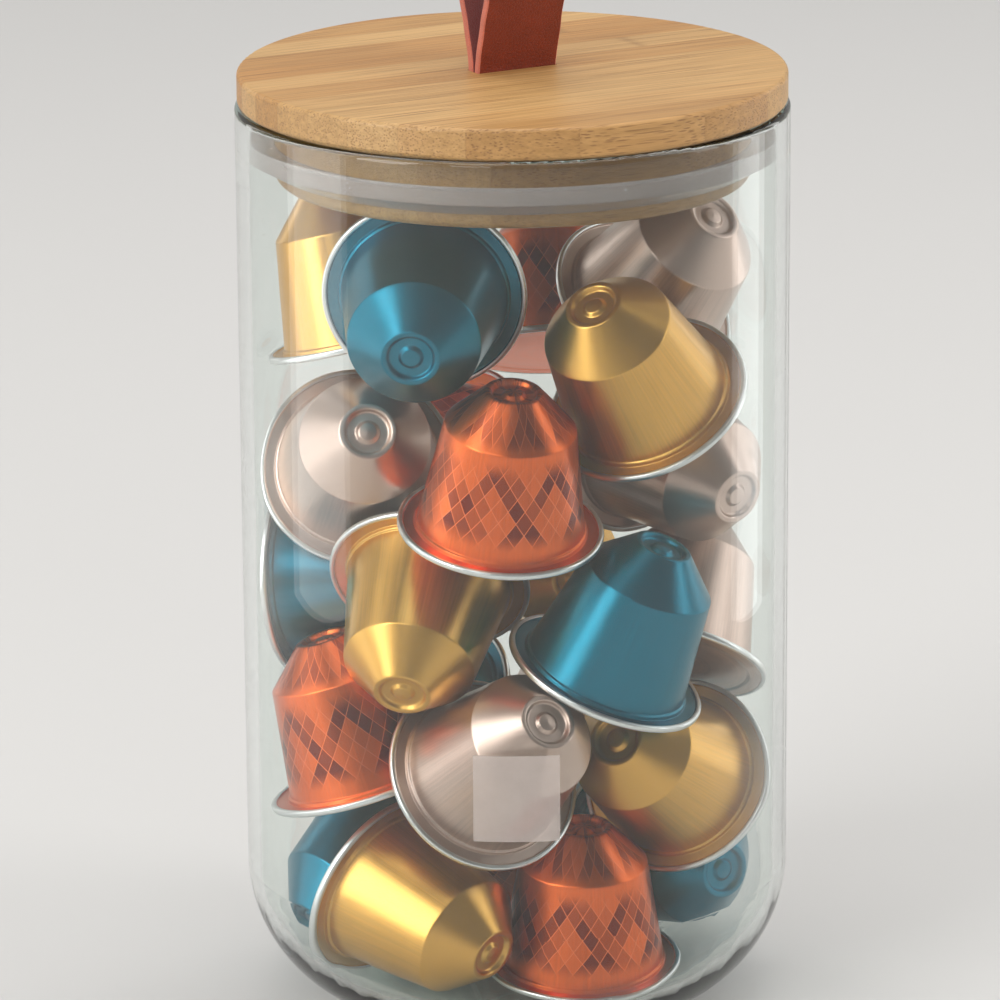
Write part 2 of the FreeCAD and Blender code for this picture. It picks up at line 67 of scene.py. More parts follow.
# The stage: shares of the floor's colour, the strength of the even light, and the lamps
ZENITH_SHARE, ROOM_SHARE, HORIZON_SHARE, EVEN_LIGHT = 0.3, 0.06, 0.6, 0.52
AIM = (0, 0, 0.11)
CARD_AIM = (0, 0, 0.20)
LAMPS = (  # name, size, watts, place, aim; in metres
    ("left_box", (0.8, 0.8), 12.5, (-1.05, -0.95, 1.10), AIM),
    ("right_strip", (0.5, 0.7), 6.2, (1.3, -0.35, 1.05), AIM),
    ("top_box", (0.8, 0.8), 5.0, (0, 0.25, 1.25), AIM),
    ("back_left_strip", (0.5, 0.6), 3.0, (-1.1, 0.95, 1.0), AIM),
    ("back_right_strip", (0.5, 0.6), 3.0, (1.1, 0.95, 1.0), AIM),
    ("front_fill", (0.5, 0.4), 1.3, (0.45, -1.25, 0.8), AIM),
)
CARDS = (  # the same, for what gloss and glass show
    ("left_card", (0.16, 0.40), 0.25, (-0.30, -0.03, 0.20), CARD_AIM),
    ("right_card", (0.10, 0.40), 0.14, (0.27, 0.09, 0.20), CARD_AIM),
    ("left_window", (0.40, 0.9), 6.0, (-0.75, -0.55, 0.50), AIM),
    ("front_window", (0.35, 0.45), 1.8, (-0.35, -1.05, 0.80), AIM),
    ("top_window", (0.6, 0.6), 3.6, (0, -0.1, 1.15), AIM),
    ("right_window", (0.25, 0.9), 1.6, (1.0, -0.10, 0.50), AIM),
    ("back_left_card", (0.12, 0.9), 0.7, (-0.75, 0.75, 0.45), AIM),
    ("back_right_card", (0.12, 0.9), 0.7, (0.75, 0.75, 0.45), AIM),
)


def length(name, text, millimetres):
    """A size that a user may change, given here in millimetres."""
    return bpy.props.FloatProperty(name=name, description=text, default=millimetres * MM,
                                   unit="LENGTH", subtype="DISTANCE", precision=5)


def angle(name, text, degrees):
    """An angle that a user may change, given here in degrees."""
    return bpy.props.FloatProperty(name=name, description=text, default=math.radians(degrees),
                                   unit="ROTATION", subtype="ANGLE")


def colour(name, text, red, green, blue):
    """A colour that a user may change, given here as it looks on a screen, 0 to 255."""
    linear = [((v / 255 + 0.055) / 1.055) ** 2.4 if v > 10 else v / 255 / 12.92 for v in (red, green, blue)]
    return bpy.props.FloatVectorProperty(name=name, description=text, default=linear, size=3,
                                         subtype="COLOR", min=0, max=1)


def amount(name, text, value, low=0.0, high=1.0):
    """A share or strength that a user may change."""
    return bpy.props.FloatProperty(name=name, description=text, default=value, min=low, max=high,
                                   subtype="FACTOR")


class GlassSettings(bpy.types.PropertyGroup):
    tint: colour("Glass tint", "Colour of the clear glass", 247, 251, 249)
    patch_width: length("Patch width", "Width of the frosted patch", 15.6)
    patch_height: length("Patch height", "Height of the frosted patch", 16.2)
    patch_level: length("Patch level", "Height of the patch's middle above the foot", 54.5)
    patch_thick: length("Patch thickness", "Thickness of the frosted patch", 0.1)
    patch_tint: colour("Patch tint", "Colour of the frosting", 220, 208, 201)
    patch_cover: amount("Patch cover", "How much the frosting hides", 0.37)


class BambooSettings(bpy.types.PropertyGroup):
    pale: colour("Pale strip", "Colour of the palest strips", 203, 163, 106)
    honey: colour("Honey strip", "Colour of the warmest strips", 180, 127, 68)
    fibre: colour("Fibre", "Colour of the fibre bundles", 118, 76, 40)
    strip_width: length("Strip width", "Width of one glued strip", 8.7)
    grain_turn: angle("Grain turn", "Way of the grain from +X toward +Y", 28)


class SealSettings(bpy.types.PropertyGroup):
    inner: length("Inner radius", "Radius of the ring inside its groove", 41.05)
    root: length("Root radius", "Radius where the lip begins", 44.2)
    ring_height: length("Ring height", "Height of the ring in its groove", 4.4)
    lip_height: length("Lip height", "Height of the lip against the glass", 3.4)
    lip_round: length("Lip rounding", "Rounding of the lip", 0.5)
    steps: bpy.props.IntProperty(name="Steps", description="Faces round the seal", default=192, min=24)
    tint: colour("Silicone", "Colour of the silicone", 240, 226, 224)


class LoopSettings(bpy.types.PropertyGroup):
    width: length("Strap width", "Width of the strap", 16.0)
    thick: length("Strap thickness", "Thickness of the leather", 1.8)
    gap: length("Layer gap", "Air between the two layers in the slot", 0.3)
    top_bend: length("Top bend", "Bend of the loop's top, to the middle of the leather", 10.0)
    rise: length("Loop rise", "Top of the loop above the lid", 43.5)
    tail: length("Tail", "Length of the tails under the plug", 13.0)
    tail_bend: length("Tail bend", "Bend of the tails", 1.2)
    leave_bend: length("Leaving bend", "Bend where the strap leaves the slot", 6.0)
    round_edge: length("Edge rounding", "Rounding of the cut edges", 0.4)
    grain: colour("Grain side", "Colour of the leather's outside", 140, 54, 31)
    flesh: colour("Flesh side", "Colour of the leather's inside", 142, 70, 66)
    cut: colour("Cut edge", "Colour of the cut edges", 222, 122, 98)


class CapsuleSettings(bpy.types.PropertyGroup):
    rim: length("Rim", "Radius of the rim", 18.5)
    curl: length("Rolled edge", "Width of the rolled edge", 0.9)
    curl_height: length("Rolled edge height", "Height of the rolled edge", 1.3)
    flange: length("Flange", "Thickness of the flat part of the rim", 0.8)
    bead: length("Bead", "Width of the bead at the cup's foot", 0.4)
    bead_height: length("Bead height", "Height of the bead", 0.7)
    cup: length("Cup", "Radius of the cup at the rim", 15.0)
    shoulder: length("Shoulder", "Radius of the shoulder", 11.8)
    shoulder_height: length("Shoulder height", "Height of the shoulder", 21.4)
    height: length("Height", "Height of the capsule", 28.4)
    end: length("End ring", "Radius of the ring on the narrow end", 5.1)
    ring: length("Ring width", "Width of that ring", 0.9)
    recess: length("Recess", "Depth inside the ring", 0.9)
    nub: length("Nub", "Radius of the nub", 1.8)
    foil: length("Foil", "Thickness of the foil", 0.3)
    steps: bpy.props.IntProperty(name="Steps", description="Faces round a capsule", default=96, min=24)
    diamonds: bpy.props.IntProperty(name="Diamonds", description="Diamonds round a copper cup", default=28)
    gold: colour("Gold", "Colour of the gold capsules", 232, 176, 88)
    blue: colour("Blue", "Colour of the blue capsules", 0, 116, 142)
    copper: colour("Copper", "Colour of the copper capsules", 242, 110, 44)
    taupe: colour("Taupe", "Colour of the taupe capsules", 216, 188, 176)
    silver: colour("Bare aluminium", "Colour of the rolled edge", 238, 237, 238)


class StageSettings(bpy.types.PropertyGroup):
    distance: length("Camera distance", "Camera in front of the jar's axis", 1100)
    camera_height: length("Camera height", "Camera above the floor", 420.2)
    pitch: angle("Pitch", "How far the camera looks down", 16.45)
    roll: angle("Roll", "Turn of the camera about its view", -0.34)
    lens: bpy.props.FloatProperty(name="Lens", description="Focal length in millimetres", default=223.33)
    shift: bpy.props.FloatProperty(name="Shift", description="Sideways shift of the frame", default=-0.0149)
    floor: colour("Floor", "Colour of the floor and backdrop", 208, 206, 203)
    floor_radius: length("Floor radius", "Radius of the floor", 6000)
    floor_gap: length("Floor gap", "Air under the foot, so that its face and the floor don't coincide", 0.1)


# Shader nodes


def new_tree(name):
    """A material with an empty node tree."""
    material = bpy.data.materials.new(name)
    material.use_nodes = True
    material.node_tree.nodes.clear()
    return material, material.node_tree


def fill(tree, socket, value):
    """Give a socket a plain value, or link it to another node's output."""
    if isinstance(value, bpy.types.NodeSocket):
        tree.links.new(value, socket)
    elif isinstance(value, bpy.types.Node):
        tree.links.new(value.outputs[0], socket)
    elif socket.type == "RGBA" and len(value) == 3:
        socket.default_value = (*value, 1.0)
    else:
        socket.default_value = value


def node(tree, kind, inputs=None, **settings):
    """Add a node, set its properties, and fill its sockets by name or number."""
    made = tree.nodes.new(kind)
    for key, value in settings.items():
        setattr(made, key, value)
    for key, value in (inputs or {}).items():
        fill(tree, made.inputs[key], value)
    return made


def calc(tree, operation, first, second=0.0, third=0.0, clamp=False):
    """A sum on values."""
    made = node(tree, "ShaderNodeMath", {0: first, 1: second}, operation=operation, use_clamp=clamp)
    if operation in ("MULTIPLY_ADD", "COMPARE"):
        fill(tree, made.inputs[2], third)
    return made.outputs[0]


def vector(tree, operation, first, second=(0, 0, 0)):
    """A sum on vectors."""
    return node(tree, "ShaderNodeVectorMath", {0: first, 1: second}, operation=operation).outputs[0]


def ramp(tree, value, low, high, to_low=0.0, to_high=1.0):
    """The value's range low to high, made to_low to to_high with soft ends."""
    made = node(tree, "ShaderNodeMapRange", interpolation_type="SMOOTHSTEP")
    for key, number in zip(("Value", "From Min", "From Max", "To Min", "To Max"),
                           (value, low, high, to_low, to_high)):
        fill(tree, made.inputs[key], number)
    return made.outputs["Result"]


def blend_colours(tree, share, first, second, way="MIX"):
    """Two colours mixed by a share."""
    made = node(tree, "ShaderNodeMix", data_type="RGBA", blend_type=way)
    fill(tree, made.inputs["Factor"], share)
    fill(tree, made.inputs[6], first)
    fill(tree, made.inputs[7], second)
    return made.outputs[2]


def noise(tree, at, scale, detail=3.0, roughness=0.55):
    """Soft noise, 0 to 1."""
    made = node(tree, "ShaderNodeTexNoise", {"Vector": at, "Scale": scale, "Detail": detail,
                                             "Roughness": roughness})
    return made.outputs[0]


def new_group(name, inputs, outputs):
    """A shader node group with named inputs and outputs; gives the tree, its input and its output."""
    tree = bpy.data.node_groups.new(name, "ShaderNodeTree")
    for label, kind, default in inputs:
        socket = tree.interface.new_socket(label, in_out="INPUT", socket_type=kind)
        if default is not None:
            socket.default_value = default
    for label, kind in outputs:
        tree.interface.new_socket(label, in_out="OUTPUT", socket_type=kind)
    return tree, tree.nodes.new("NodeGroupInput"), tree.nodes.new("NodeGroupOutput")


def place_group(tree, name, inputs):
    """Put a group into a material with its own values."""
    made = tree.nodes.new("ShaderNodeGroup")
    made.node_tree = bpy.data.node_groups[name]
    for key, value in inputs.items():
        fill(tree, made.inputs[key], value)
    return made


FLOAT, COLOR, VECTOR = "NodeSocketFloat", "NodeSocketColor", "NodeSocketVector"


def bamboo_group():
    """Glued bamboo strips: long fibres with bundles that show as dots where they are cut across."""
    tree, given, gives = new_group(
        "Bamboo strips",
        [("Place", VECTOR, None), ("Strip", FLOAT, 8.7), ("Shift", FLOAT, 0.0), ("Pale", COLOR, None),
         ("Honey", COLOR, None), ("Fibre", COLOR, None)],
        [("Color", COLOR), ("Roughness", FLOAT), ("Height", FLOAT)])
    place = given.outputs["Place"]
    parts = node(tree, "ShaderNodeSeparateXYZ", {0: place})
    along, across, up = parts.outputs
    wave = noise(tree, vector(tree, "MULTIPLY", place, (0.02, 0.05, 0.05)), 1.0, 1.0)
    shifted = calc(tree, "ADD", across, given.outputs["Shift"])
    strips = calc(tree, "DIVIDE", shifted, given.outputs["Strip"])
    number = calc(tree, "FLOOR", strips)
    inside = calc(tree, "FRACT", strips)
    strip_noise = node(tree, "ShaderNodeTexWhiteNoise", {"W": number}, noise_dimensions="1D")
    own = strip_noise.outputs["Value"]
    other = node(tree, "ShaderNodeSeparateColor", {0: strip_noise.outputs["Color"]}).outputs[1]
    own_place = calc(tree, "MULTIPLY_ADD", number, 13.7, up)
    moved = node(tree, "ShaderNodeCombineXYZ", {0: along, 1: across, 2: own_place})
    streaks = noise(tree, vector(tree, "MULTIPLY", moved, (0.012, 1.0, 1.0)), 1.0, 5.0, 0.68)
    broad = noise(tree, vector(tree, "MULTIPLY", moved, (0.007, 0.33, 0.33)), 1.0, 2.0)
    bundles = node(tree, "ShaderNodeTexVoronoi", {"Scale": 1.0, "Randomness": 1.0,
                                                  "Vector": vector(tree, "MULTIPLY", moved, (0.04, 2.5, 2.5))})
    spot = ramp(tree, bundles.outputs["Distance"], 0.20, 0.46, 1.0, 0.0)
    spread = noise(tree, vector(tree, "MULTIPLY", moved, (0.01, 0.5, 0.5)), 1.0, 1.0)
    crowd = calc(tree, "MULTIPLY_ADD", inside, 0.35, calc(tree, "MULTIPLY_ADD", spread, 0.9, 0.12), clamp=True)
    spot = calc(tree, "MULTIPLY", spot, crowd)
    knot_at = calc(tree, "ADD", calc(tree, "DIVIDE", along, 210.0), calc(tree, "MULTIPLY", other, 7.0))
    knot = calc(tree, "ABSOLUTE", calc(tree, "SUBTRACT", calc(tree, "FRACT", knot_at), 0.5))
    knot = ramp(tree, calc(tree, "MULTIPLY_ADD", wave, 0.01, knot), 0.006, 0.016, 1.0, 0.0)
    seam = ramp(tree, calc(tree, "ABSOLUTE", calc(tree, "SUBTRACT", inside, 0.5)), 0.482, 0.497)
    warmth = calc(tree, "MULTIPLY_ADD", own, 0.75, calc(tree, "MULTIPLY", broad, 0.3), clamp=True)
    tone = blend_colours(tree, warmth, given.outputs["Pale"], given.outputs["Honey"])
    level = calc(tree, "MULTIPLY_ADD", streaks, 0.80, calc(tree, "MULTIPLY_ADD", other, 0.18, 0.50))
    shade = node(tree, "ShaderNodeCombineColor", {0: level, 1: calc(tree, "POWER", level, 1.12),
                                                  2: calc(tree, "POWER", level, 1.45)})
    tone = blend_colours(tree, 1.0, tone, shade.outputs[0], "MULTIPLY")
    for mark, share in ((spot, 0.58), (seam, 0.12), (knot, 0.30)):
        tone = blend_colours(tree, calc(tree, "MULTIPLY", mark, share), tone, given.outputs["Fibre"])
    fill(tree, gives.inputs["Color"], tone)
    fill(tree, gives.inputs["Roughness"], calc(tree, "MULTIPLY_ADD", streaks, 0.22, 0.36))
    height = calc(tree, "MULTIPLY_ADD", spot, -0.7, calc(tree, "MULTIPLY", streaks, 0.8))
    fill(tree, gives.inputs["Height"], calc(tree, "MULTIPLY_ADD", seam, -0.2, height))


def metal_group():
    """Drawn and lacquered aluminium: streaks from rim to end, spun rings and a few soft dents."""
    tree, given, gives = new_group(
        "Drawn aluminium",
        [("Place", VECTOR, None), ("Streaks", FLOAT, 0.5), ("Rings", FLOAT, 0.3), ("Dents", FLOAT, 0.3),
         ("Low", FLOAT, 2.0), ("High", FLOAT, 22.0), ("Roughness", FLOAT, 0.3)],
        [("Tone", FLOAT), ("Roughness", FLOAT), ("Height", FLOAT)])
    place = given.outputs["Place"]
    across, deep, up = node(tree, "ShaderNodeSeparateXYZ", {0: place}).outputs
    flat = node(tree, "ShaderNodeCombineXYZ", {0: across, 1: deep}).outputs[0]
    radius = node(tree, "ShaderNodeVectorMath", {0: flat}, operation="LENGTH").outputs["Value"]
    round_it = vector(tree, "MULTIPLY", vector(tree, "NORMALIZE", flat), (STREAK_COUNT,) * 3)
    along = node(tree, "ShaderNodeCombineXYZ", {2: calc(tree, "MULTIPLY", up, 0.05)}).outputs[0]
    streak = noise(tree, vector(tree, "ADD", round_it, along), 1.0, 3.0, 0.6)
    low, high = given.outputs["Low"], given.outputs["High"]
    side = calc(tree, "MULTIPLY", ramp(tree, up, calc(tree, "SUBTRACT", low, 1.0), low),
                ramp(tree, up, calc(tree, "SUBTRACT", high, 1.0), high, 1.0, 0.0))
    turned = node(tree, "ShaderNodeCombineXYZ", {0: calc(tree, "MULTIPLY", radius, 1.4),
                                                 1: calc(tree, "MULTIPLY", up, 1.4)})
    rings = noise(tree, turned.outputs[0], 1.0, 0.0)
    soft = noise(tree, place, 0.16, 2.0)
    fine = noise(tree, place, 1.4, 3.0, 0.65)
    streaked = calc(tree, "MULTIPLY", calc(tree, "SUBTRACT", streak, 0.5), given.outputs["Streaks"])
    streaked = calc(tree, "MULTIPLY", streaked, side)
    ringed = calc(tree, "MULTIPLY", calc(tree, "SUBTRACT", rings, 0.5), given.outputs["Rings"])
    lines = calc(tree, "ADD", streaked, ringed)
    fill(tree, gives.inputs["Tone"], calc(tree, "MULTIPLY_ADD", lines, 0.55, 1.0))
    rough = calc(tree, "MULTIPLY_ADD", lines, 0.25, given.outputs["Roughness"])
    fill(tree, gives.inputs["Roughness"],
         calc(tree, "MULTIPLY_ADD", calc(tree, "SUBTRACT", fine, 0.5), 0.04, rough, clamp=True))
    dents = calc(tree, "MULTIPLY", soft, given.outputs["Dents"])
    fill(tree, gives.inputs["Height"], calc(tree, "MULTIPLY_ADD", lines, 0.02, dents))


def diamond_group():
    """A harlequin band: diamonds between slanting lines, with a net of darker ones."""
    tree, given, gives = new_group(
        "Harlequin band",
        [("Place", VECTOR, None), ("Count", FLOAT, 32.0), ("Rise", FLOAT, 4.5), ("Low", FLOAT, 3.0),
         ("High", FLOAT, 20.5)],
        [("Diamonds", FLOAT), ("Lines", FLOAT)])
    across, deep, up = node(tree, "ShaderNodeSeparateXYZ", {0: given.outputs["Place"]}).outputs
    count = given.outputs["Count"]
    turn = calc(tree, "DIVIDE", calc(tree, "ARCTAN2", deep, across), 2 * math.pi)
    around = calc(tree, "MULTIPLY", turn, count)
    level = calc(tree, "DIVIDE", up, given.outputs["Rise"])
    slants = [calc(tree, way, around, level) for way in ("ADD", "SUBTRACT")]
    rows = [calc(tree, "FLOORED_MODULO", calc(tree, "FLOOR", slant), count) for slant in slants]
    cell = node(tree, "ShaderNodeCombineXYZ", {0: rows[0], 1: rows[1]}).outputs[0]
    own = node(tree, "ShaderNodeTexWhiteNoise", {"Vector": cell}, noise_dimensions="3D").outputs["Value"]
    depth = calc(tree, "MULTIPLY", own, 0.25)
    for number, least, most in DIAMOND_ROWS:
        net = calc(tree, "MAXIMUM", *[calc(tree, "COMPARE", calc(tree, "FLOORED_MODULO", row, 4.0), number, 0.5)
                                      for row in rows])
        dark = calc(tree, "MULTIPLY", net, ramp(tree, own, 0.0, 0.8, least, most))
        depth = calc(tree, "MAXIMUM", depth, dark)
    off_middle = [calc(tree, "SUBTRACT", calc(tree, "FRACT", slant), 0.5) for slant in slants]
    edge = calc(tree, "MAXIMUM", *[calc(tree, "ABSOLUTE", off) for off in off_middle])
    body = ramp(tree, edge, 0.46, 0.475, 1.0, 0.0)
    line = ramp(tree, edge, 0.46, 0.485)
    low, high = given.outputs["Low"], given.outputs["High"]
    band = calc(tree, "MULTIPLY", ramp(tree, up, low, calc(tree, "ADD", low, 4.0)),
                ramp(tree, up, calc(tree, "SUBTRACT", high, 4.0), high, 1.0, 0.0))
    cone = ramp(tree, up, calc(tree, "ADD", high, 1.0), calc(tree, "ADD", high, 3.0))
    band = calc(tree, "ADD", band, calc(tree, "MULTIPLY", cone, 0.75), clamp=True)
    fill(tree, gives.inputs["Diamonds"], calc(tree, "MULTIPLY", calc(tree, "MULTIPLY", depth, body), band))
    fill(tree, gives.inputs["Lines"], calc(tree, "MULTIPLY", line, band))


def leather_group():
    """Leather: pores and fine creases, with the dye a little uneven."""
    tree, given, gives = new_group(
        "Dyed leather",
        [("Place", VECTOR, None), ("Dye", COLOR, None), ("Fuzz", FLOAT, 0.3), ("Pores", FLOAT, 2.0)],
        [("Color", COLOR), ("Roughness", FLOAT), ("Height", FLOAT)])
    place = given.outputs["Place"]
    cells = node(tree, "ShaderNodeTexVoronoi", {"Vector": place, "Scale": given.outputs["Pores"]},
                 feature="DISTANCE_TO_EDGE")
    pore = ramp(tree, cells.outputs["Distance"], 0.0, 0.16)
    blotch = noise(tree, place, 0.22, 3.0)
    hair = noise(tree, place, 4.0, 4.0, 0.7)
    dark = calc(tree, "MULTIPLY_ADD", blotch, 0.5, calc(tree, "MULTIPLY_ADD", pore, 0.12, 0.62))
    fuzz = calc(tree, "MULTIPLY", calc(tree, "SUBTRACT", hair, 0.5), given.outputs["Fuzz"])
    level = calc(tree, "ADD", dark, fuzz)
    shade = node(tree, "ShaderNodeCombineColor", {0: level, 1: level, 2: level})
    dyed = blend_colours(tree, 1.0, given.outputs["Dye"], shade.outputs[0], "MULTIPLY")
    fill(tree, gives.inputs["Color"], dyed)
    fill(tree, gives.inputs["Roughness"], calc(tree, "MULTIPLY_ADD", hair, 0.25, 0.42))
    fill(tree, gives.inputs["Height"], calc(tree, "MULTIPLY_ADD", fuzz, 0.6, pore))


def smear_group():
    """Faint finger smears and dust, for glass, frosting and silicone."""
    tree, given, gives = new_group(
        "Faint smears",
        [("Place", VECTOR, None), ("Size", FLOAT, 0.05), ("Strength", FLOAT, 0.5)],
        [("Mask", FLOAT), ("Height", FLOAT)])
    wide = noise(tree, given.outputs["Place"], given.outputs["Size"], 4.0, 0.6)
    fine = noise(tree, given.outputs["Place"], calc(tree, "MULTIPLY", given.outputs["Size"], 22.0), 3.0, 0.6)
    mask = calc(tree, "MULTIPLY", ramp(tree, wide, 0.45, 0.75), calc(tree, "MULTIPLY_ADD", fine, 0.8, 0.3))
    fill(tree, gives.inputs["Mask"], calc(tree, "MULTIPLY", mask, given.outputs["Strength"], clamp=True))
    fill(tree, gives.inputs["Height"], wide)


def place_in_mm(tree, turn=0.0):
    """Object coordinates in millimetres, turned back about Z."""
    place = node(tree, "ShaderNodeTexCoord").outputs["Object"]
    if turn:
        place = node(tree, "ShaderNodeVectorRotate", {"Vector": place, "Angle": -turn},
                     rotation_type="Z_AXIS")
    return vector(tree, "MULTIPLY", place, (1 / MM,) * 3)


def bump(tree, height, distance, strength=1.0):
    """A bump from a height that runs from 0 to 1; the distance is in metres."""
    made = node(tree, "ShaderNodeBump", {"Height": height, "Distance": distance, "Strength": strength})
    return made.outputs[0]


def finish_material(tree, shader):
    """Link the shader to the material's output."""
    node(tree, "ShaderNodeOutputMaterial", {"Surface": shader})


def principled(tree, inputs):
    """The material's own shader."""
    return node(tree, "ShaderNodeBsdfPrincipled", inputs)


def glass_material():
    """Clear soda glass. Lamps shine through to what is inside, and rays caught in the wall get out dimmer."""
    material, tree = new_tree("clear_glass")
    smears = place_group(tree, "Faint smears", {"Place": place_in_mm(tree), "Size": 0.03, "Strength": 0.5})
    shader = principled(tree, {
        "Base Color": bpy.context.scene.jar_glass.tint, "Metallic": 0.0, "Transmission Weight": 1.0,
        "IOR": GLASS_IOR, "Roughness": calc(tree, "MULTIPLY", smears.outputs["Mask"], 0.03),
        "Normal": bump(tree, smears.outputs["Height"], 0.00003, 0.2)})
    rays = node(tree, "ShaderNodeLightPath")
    inside = node(tree, "ShaderNodeNewGeometry").outputs["Backfacing"]
    deep = calc(tree, "GREATER_THAN", rays.outputs["Ray Depth"], BEHIND_GLASS)
    trapped = calc(tree, "MULTIPLY", inside, deep)
    through = node(tree, "ShaderNodeBsdfTransparent", {
        0: blend_colours(tree, trapped, (0.96, 0.98, 0.97), (0.60, 0.67, 0.64))})
    leave = calc(tree, "MAXIMUM", rays.outputs["Is Shadow Ray"], trapped)
    finish_material(tree, node(tree, "ShaderNodeMixShader", {0: leave, 1: shader, 2: through}))
    return material


def frosted_material():
    """Fine frosting, half clear."""
    settings = bpy.context.scene.jar_glass
    material, tree = new_tree("frosted_patch")
    smears = place_group(tree, "Faint smears", {"Place": place_in_mm(tree), "Size": 0.2, "Strength": 0.6})
    cover = calc(tree, "MULTIPLY_ADD", smears.outputs["Height"], 0.10, settings.patch_cover - 0.05)
    grain = noise(tree, place_in_mm(tree), 9.0, 2.0)
    finish_material(tree, principled(tree, {
        "Base Color": settings.patch_tint, "Alpha": cover, "Metallic": 0.0,
        "Roughness": calc(tree, "MULTIPLY_ADD", grain, 0.2, 0.5), "Normal": bump(tree, grain, 0.00003, 0.6)}))
    return material


def bamboo_material(name, shift, depth=1.0):
    """Oiled bamboo strips; depth darkens their pale and honey tones, as painted shade."""
    settings = bpy.context.scene.jar_bamboo
    material, tree = new_tree(name)
    strips = place_group(tree, "Bamboo strips", {
        "Place": place_in_mm(tree, settings.grain_turn), "Strip": settings.strip_width / MM, "Shift": shift,
        "Pale": [v * depth for v in settings.pale], "Honey": [v * depth for v in settings.honey],
        "Fibre": settings.fibre})
    finish_material(tree, principled(tree, {
        "Base Color": strips.outputs["Color"], "Roughness": strips.outputs["Roughness"],
        "Coat Weight": 0.12, "Coat Roughness": 0.35,
        "Normal": bump(tree, strips.outputs["Height"], 0.00012, 0.7)}))
    return material


def silicone_material():
    """Milky silicone."""
    material, tree = new_tree("silicone")
    smears = place_group(tree, "Faint smears", {"Place": place_in_mm(tree), "Size": 0.12, "Strength": 0.25})
    tint = bpy.context.scene.jar_seal.tint
    dusty = blend_colours(tree, smears.outputs["Mask"], tint, [min(1.0, v * 1.2) for v in tint])
    finish_material(tree, principled(tree, {
        "Base Color": dusty, "Roughness": calc(tree, "MULTIPLY_ADD", smears.outputs["Mask"], 0.2, 0.24),
        "Metallic": 0.0, "Transmission Weight": 0.75, "IOR": SILICONE_IOR,
        "Normal": bump(tree, smears.outputs["Height"], 0.00002, 0.2)}))
    return material


def leather_material(name, dye, fuzz, pores, sheen):
    """One side of the dyed leather."""
    material, tree = new_tree(name)
    hide = place_group(tree, "Dyed leather", {
        "Place": place_in_mm(tree), "Dye": dye, "Fuzz": fuzz, "Pores": pores})
    finish_material(tree, principled(tree, {
        "Base Color": hide.outputs["Color"], "Roughness": hide.outputs["Roughness"], "Sheen Weight": sheen,
        "Specular IOR Level": 0.4, "Normal": bump(tree, hide.outputs["Height"], 0.00010, 0.8)}))
    return material


def metal_material(name, tint, rough, streaks, rings, dents, diamonds=0):
    """Lacquered aluminium in one colour, with the harlequin band where it is asked for."""
    material, tree = new_tree(name)
    place = place_in_mm(tree)
    metal = place_group(tree, "Drawn aluminium", {"Place": place, "Streaks": streaks, "Rings": rings,
                                                  "Dents": dents, "Roughness": rough})
    shade = node(tree, "ShaderNodeCombineColor", {k: metal.outputs["Tone"] for k in (0, 1, 2)})
    surface = blend_colours(tree, 1.0, tint, shade.outputs[0], "MULTIPLY")
    if diamonds:
        band = place_group(tree, "Harlequin band", {"Place": place, "Count": float(diamonds)})
        surface = blend_colours(tree, band.outputs["Diamonds"], surface,
                                [v * share for v, share in zip(tint, (0.22, 0.11, 0.10))])
        surface = blend_colours(tree, calc(tree, "MULTIPLY", band.outputs["Lines"], 0.5), surface,
                                [min(1.0, v * 1.2 + 0.10) for v in tint])
    finish_material(tree, principled(tree, {
        "Base Color": surface, "Metallic": 1.0, "Roughness": metal.outputs["Roughness"],
        "Coat Weight": 0.3, "Coat Roughness": 0.2,
        "Normal": bump(tree, metal.outputs["Height"], 0.0004, 0.5)}))
    return material


# Meshes


def rounded_line(corners, steps=4):
    """Points through (radius, height, rounding) corners, each rounded by an arc. Long runs get a point
    near each end, so that smooth shading stays flat between them."""
    points = []
    near = 0.25 * MM
    for index, (x, y, size) in enumerate(corners):
        here = Vector((x, y))
        if size <= 0 or index in (0, len(corners) - 1):
            points.append(here)
            continue
        back = Vector(corners[index - 1][:2]) - here
        on = Vector(corners[index + 1][:2]) - here
        half = back.angle(on) / 2
        reach = min(size / math.tan(half), back.length * 0.49, on.length * 0.49)
        size = reach * math.tan(half)
        centre = here + (back.normalized() + on.normalized()).normalized() * (size / math.sin(half))
        first = here + back.normalized() * reach - centre
        last = here + on.normalized() * reach - centre
        turn = first.angle_signed(last)
        for k in range(steps + 1):
            points.append(centre + Matrix.Rotation(-turn * k / steps, 2) @ first)
    line = points[:1]
    for point in points[1:]:
        step = point - line[-1]
        if step.length > 4 * near:
            line += [line[-1] + step.normalized() * near, point - step.normalized() * near]
        line.append(point)
    return line


def spin(name, line, steps, materials, pick):
    """A round mesh from a line of (radius, height) points; pick gives each face its material."""
    mesh = bpy.data.meshes.new(name)
    shape = bmesh.new()
    rings = []
    for point in line:
        if abs(point.x) < WELD:
            rings.append([shape.verts.new((0, 0, point.y))])
            continue
        rings.append([shape.verts.new((point.x * math.cos(2 * math.pi * k / steps),
                                       point.x * math.sin(2 * math.pi * k / steps), point.y))
                      for k in range(steps)])
    for row, (low, high) in enumerate(zip(rings, rings[1:])):
        for k in range(steps):
            after = (k + 1) % steps
            corners = [low[k % len(low)], low[after % len(low)], high[after % len(high)], high[k % len(high)]]
            face = shape.faces.new(list(dict.fromkeys(corners)))
            face.smooth = True
            face.material_index = pick(row)
    bmesh.ops.remove_doubles(shape, verts=shape.verts, dist=WELD)
    bmesh.ops.recalc_face_normals(shape, faces=shape.faces)
    shape.to_mesh(mesh)
    shape.free()
    for material in materials:
        mesh.materials.append(material)
    return mesh


def new_piece(name, mesh):
    """Put a mesh in the scene as a piece of the object."""
    piece = bpy.data.objects.new(name, mesh)
    bpy.context.scene.collection.objects.link(piece)
    return piece


